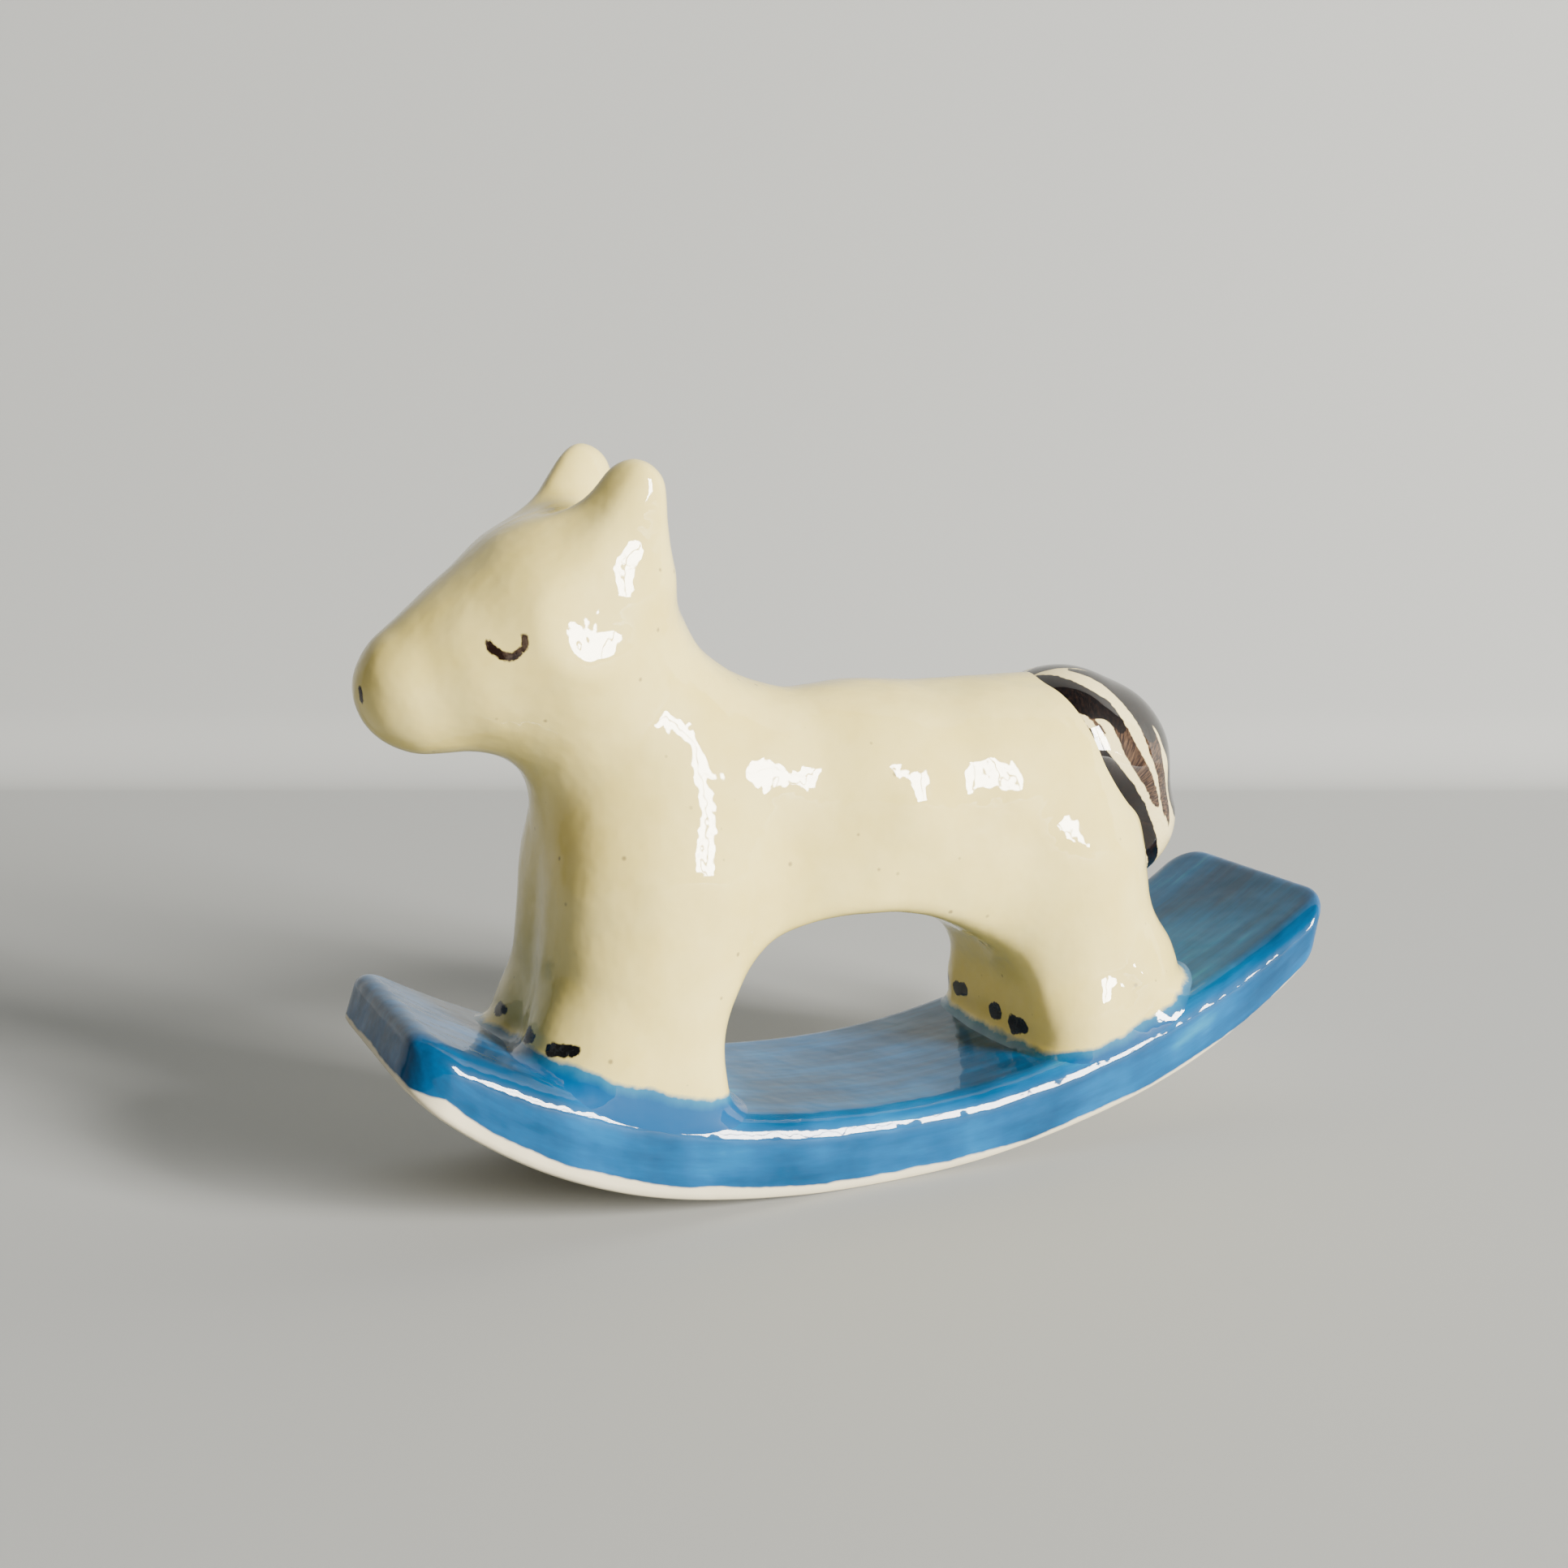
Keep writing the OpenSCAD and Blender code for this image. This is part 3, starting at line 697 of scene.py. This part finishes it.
# finger marks softened by the glaze, about 4 mm apart and a few hundredths high
wave = add(m, "ShaderNodeTexNoise", {"Vector": where_mm, "Scale": 0.25, "Detail": 2.0}).outputs[0]
wave = add(m, "ShaderNodeBump", {"Height": wave, "Strength": 1.0, "Distance": 0.00018}).outputs[0]
m.links.new(wave, finish.inputs["Normal"])
m.links.new(wave, finish.inputs["Coat Normal"])
clear_glaze(finish, 1.0, 0.035)

points, quads = shell(horse_shape, (-50, -18, 2), (60, 18, 84), 0.45)
horse = clay_object("glazed_horse", points, quads, cream_glaze)
x, y, z = points.T
# the blue stands higher on the left fore foot than on the others
fore_near = np.clip((x + 2) / 4, 0, 1) * np.clip((y + 6) / 16, 0, 1)
note(horse, "over_slab_mm", slab_top(points) - 0.2 - 1.2 * fore_near)
# closed eye: one short brush line sagging in a bow, low on each cheek
bow = [
    (44.5, 9.3, 60.8, 0.40), (44.3, 9.4, 60.4, 0.46), (43.8, 9.8, 59.9, 0.46),
    (43.3, 10.1, 59.6, 0.48), (42.8, 10.3, 59.5, 0.46), (42.3, 10.6, 59.6, 0.44),
    (41.8, 10.9, 60.1, 0.40), (41.45, 11.1, 60.6, 0.38), (41.4, 11.1, 61.1, 0.36),
    (41.4, 11.0, 61.5, 0.40),
]
# nostrils: two upright dashes
dashes = [[(55.3, s * 1.4, 55.9, 0.36), (55.2, s * 1.5, 54.9, 0.36)] for s in (-1, 1)]
line = np.minimum(brushed(points, dashes), brushed(np.stack([x, np.abs(y), z], 1), [bow]))
note(horse, "line_mm", line)
# hoof marks: two dabs on the front of each foot
dabs = [
    [(38.9, 9.7, 19.0, 0.95), (38.0, 10.6, 19.1, 1.0), (37.2, 11.4, 19.2, 0.8)],
    [(39.6, 3.9, 18.7, 0.85), (39.9, 5.4, 19.2, 1.1), (39.8, 6.6, 19.4, 0.9)],
    [(39.8, -5.4, 19.0, 0.9), (39.4, -3.8, 19.2, 0.75)],
    [(38.8, -10.0, 19.0, 0.6), (39.3, -8.8, 19.1, 0.55)],
    [(-19.0, -11.6, 13.5, 0.75), (-18.9, -10.9, 13.3, 0.8)],
    [(-18.7, -7.8, 12.8, 0.95), (-18.5, -5.7, 13.3, 0.85)],
    [(-18.6, 1.0, 12.6, 1.05), (-18.4, 2.0, 13.0, 1.0)],
    [(-18.6, 5.3, 12.2, 1.05), (-18.7, 7.2, 12.6, 0.9)],
]
note(horse, "hoof_mm", brushed(points, dabs) + 0.22 * lumps(points, 1.4, 20))
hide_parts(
    "torso", "neck", "head", "ear_left", "ear_right",
    "foreleg_left", "foreleg_right", "hindleg_left", "hindleg_right",
)
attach(horse, "root")

# paint is thinner on the slab where the brush met the feet
on_slab = np.empty(len(rocker.data.vertices) * 3, np.float32)
rocker.data.vertices.foreach_get("co", on_slab)
on_slab = on_slab.reshape(-1, 3) * 1000 - (clay_ahead, 0, 0)
note(rocker, "from_clay_mm", np.clip(horse_clay(on_slab), 0, 20))

# ---------------------------------------------------------------------------
# Tail: a flattened lobe of the same clay stuck over the rump, its hair drawn in long
# black and brown underglaze strokes with cream showing between, then glazed and fired.


def tail_shape(points):
    """Distance in mm outside the tail, from its root inside the rump to its tip."""
    tail = roll(points, (-27.0, 0, 43.4), (-31.0, 0, 41.3), 10.0, 9.8, 0.97)
    tail = luted(tail, roll(points, (-31.0, 0, 41.3), (-34.6, 0, 34.8), 9.8, 7.6, 0.95), 2)
    tail = luted(tail, roll(points, (-34.6, 0, 34.8), (-36.6, 0, 30.6), 7.6, 3.9, 0.95), 2)
    return tail + 0.10 * lumps(points, 6.0, 14)


# Black and brown underglaze strokes on cream under clear glaze: dense where the brush was
# loaded, brown and broken into hairs where it ran dry, glossy as the rest.
tail_glaze = bpy.data.materials.new("black_brush_strokes_under_clear_glaze")
tail_glaze.use_nodes = True
m = tail_glaze.node_tree
finish = m.nodes["Principled BSDF"]
hair_mm = add(m, "ShaderNodeAttribute", attribute_name="hair_mm").outputs["Vector"]
# bristle marks, about 0.35 mm wide and 6 mm long
comb = {0: hair_mm, 1: (0.16, 2.6, 0.0)}
comb = add(m, "ShaderNodeVectorMath", comb, operation="MULTIPLY").outputs[0]
bristle = {"Vector": comb, "Scale": 1.0, "Detail": 4.0, "Roughness": 0.6}
bristle = add(m, "ShaderNodeTexNoise", bristle).outputs[0]
# fine grain in the paint, about 0.4 mm
grain = add(m, "ShaderNodeTexNoise", {"Vector": hair_mm, "Scale": 2.4, "Detail": 4.0}).outputs[0]
colour = {0: grain, 6: linear("#DCCB8E"), 7: linear("#EFDFA8")}
colour = add(m, "ShaderNodeMix", colour, data_type="RGBA").outputs[2]
for mark, dark, pale, dry in (
    ("brown_mm", "#21120A", "#5E4632", 0.16),
    ("black_mm", "#050304", "#1D120D", 0.10),
):
    edge = add(m, "ShaderNodeAttribute", attribute_name=mark).outputs["Fac"]
    loose = add(m, "ShaderNodeMapRange", {0: bristle, 1: 0.3, 2: 0.7, 3: -dry, 4: dry}).outputs[0]
    edge = add(m, "ShaderNodeMath", {0: edge, 1: loose}, operation="ADD").outputs[0]
    there = add(m, "ShaderNodeMapRange", {0: edge, 1: -0.07, 2: 0.05, 3: 1.0, 4: 0.0}).outputs[0]
    worn = add(m, "ShaderNodeMapRange", {0: grain, 1: 0.42, 2: 0.72}).outputs[0]
    ink = {0: worn, 6: linear(dark), 7: linear(pale)}
    ink = add(m, "ShaderNodeMix", ink, data_type="RGBA").outputs[2]
    colour = add(m, "ShaderNodeMix", {0: there, 6: colour, 7: ink}, data_type="RGBA").outputs[2]
m.links.new(colour, finish.inputs["Base Color"])
clear_glaze(finish, 1.0, 0.035)

points, quads = shell(tail_shape, (-48, -14, 20), (-12, 14, 58), 0.32)
tail = clay_object("painted_tail", points, quads, tail_glaze)
x, y, z = points.T
# hairs run round a point inside the rump, about 15 mm from it
hair_hub_x, hair_hub_z, hair_r = -27.0, 38.0, 15
turned = np.arctan2(z - hair_hub_z, -(x - hair_hub_x))
hair = tail.data.attributes.new("hair_mm", "FLOAT_VECTOR", "POINT")
hair.data.foreach_set("vector", np.stack([turned * hair_r, y, 0 * y], 1).astype(np.float32).ravel())
# strokes down each side from the root to the tip, and one over the crest
border = [
    (-23.9, 7.8, 48.6, 0.5), (-25.2, 9.0, 46.5, 0.7), (-26.8, 9.7, 44.4, 0.8),
    (-28.7, 9.8, 41.9, 0.9), (-30.9, 9.7, 39.3, 1.05), (-33.0, 8.8, 36.7, 1.15),
    (-34.7, 7.9, 34.4, 1.1), (-36.1, 7.1, 32.0, 0.95), (-37.3, 5.7, 30.1, 0.8),
    (-38.0, 4.4, 28.6, 0.6),
]
root = [
    (-23.0, 1.8, 52.5, 0.5), (-23.9, 3.7, 52.2, 1.2), (-24.6, 5.4, 51.4, 1.8),
    (-25.5, 6.6, 50.4, 2.0), (-26.9, 7.3, 49.6, 1.9), (-28.2, 7.6, 49.1, 1.5),
    (-29.2, 8.1, 48.1, 1.1), (-29.9, 8.6, 47.0, 0.8),
]
middle = [
    (-28.6, 7.6, 49.3, 0.9), (-30.0, 8.9, 46.6, 1.0), (-30.9, 9.5, 44.4, 1.0),
    (-32.1, 9.8, 42.6, 0.95), (-33.4, 9.6, 40.6, 0.85), (-35.0, 8.7, 38.5, 0.7),
    (-36.1, 8.1, 37.2, 0.35),
]
short = [
    (-25.8, 7.8, 49.2, 0.4), (-26.4, 8.6, 47.9, 0.3), (-27.1, 9.1, 47.0, 0.25),
    (-27.9, 9.3, 46.3, 0.1),
]
dry = [
    (-24.4, 7.8, 48.8, 0.25), (-25.2, 8.6, 47.6, 0.2), (-26.1, 9.2, 46.5, 0.2),
    (-26.8, 9.5, 45.3, 0.1),
]
upper = [
    (-27.2, 2.6, 53.1, 0.5), (-29.5, 3.6, 52.3, 1.05), (-31.4, 4.6, 51.1, 1.5),
    (-32.8, 5.7, 49.6, 1.7), (-33.7, 6.9, 47.9, 1.6), (-34.3, 7.9, 45.8, 1.2),
]
lower = [
    (-34.0, 7.6, 46.8, 1.3), (-34.7, 8.5, 44.3, 1.35), (-35.4, 8.7, 42.2, 1.0),
    (-36.2, 8.3, 40.3, 0.95), (-37.2, 7.5, 38.2, 0.9), (-38.0, 6.6, 36.0, 0.8),
    (-38.6, 5.6, 33.4, 0.6),
]
crest = [
    (-22.6, 0.0, 53.0, 0.9), (-25.6, 0.4, 53.4, 1.2), (-28.6, 0.6, 53.1, 1.5),
    (-31.4, 1.2, 52.2, 2.1), (-34.2, 2.4, 50.3, 3.0), (-36.2, 3.6, 47.6, 3.6),
    (-37.8, 4.0, 44.6, 3.9), (-38.9, 3.8, 41.0, 3.7), (-39.6, 3.2, 37.0, 3.1),
    (-39.7, 2.6, 33.5, 1.9), (-39.0, 2.2, 30.5, 1.2), (-38.0, 1.6, 28.4, 0.8),
]
black, brown = [border, root, upper, crest], [middle, short, dry, lower]
# the same again on the far side, a little lower and broader
for strokes in (black, brown):
    for stroke in list(strokes):
        strokes.append([(px + 0.3, -0.94 * py, pz - 0.2, w * 1.06) for px, py, pz, w in stroke])
note(tail, "black_mm", brushed(points, black) + 0.06 * lumps(points, 1.2, 30))
note(tail, "brown_mm", brushed(points, brown) + 0.06 * lumps(points, 1.2, 31))
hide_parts("tail")
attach(tail, "root")
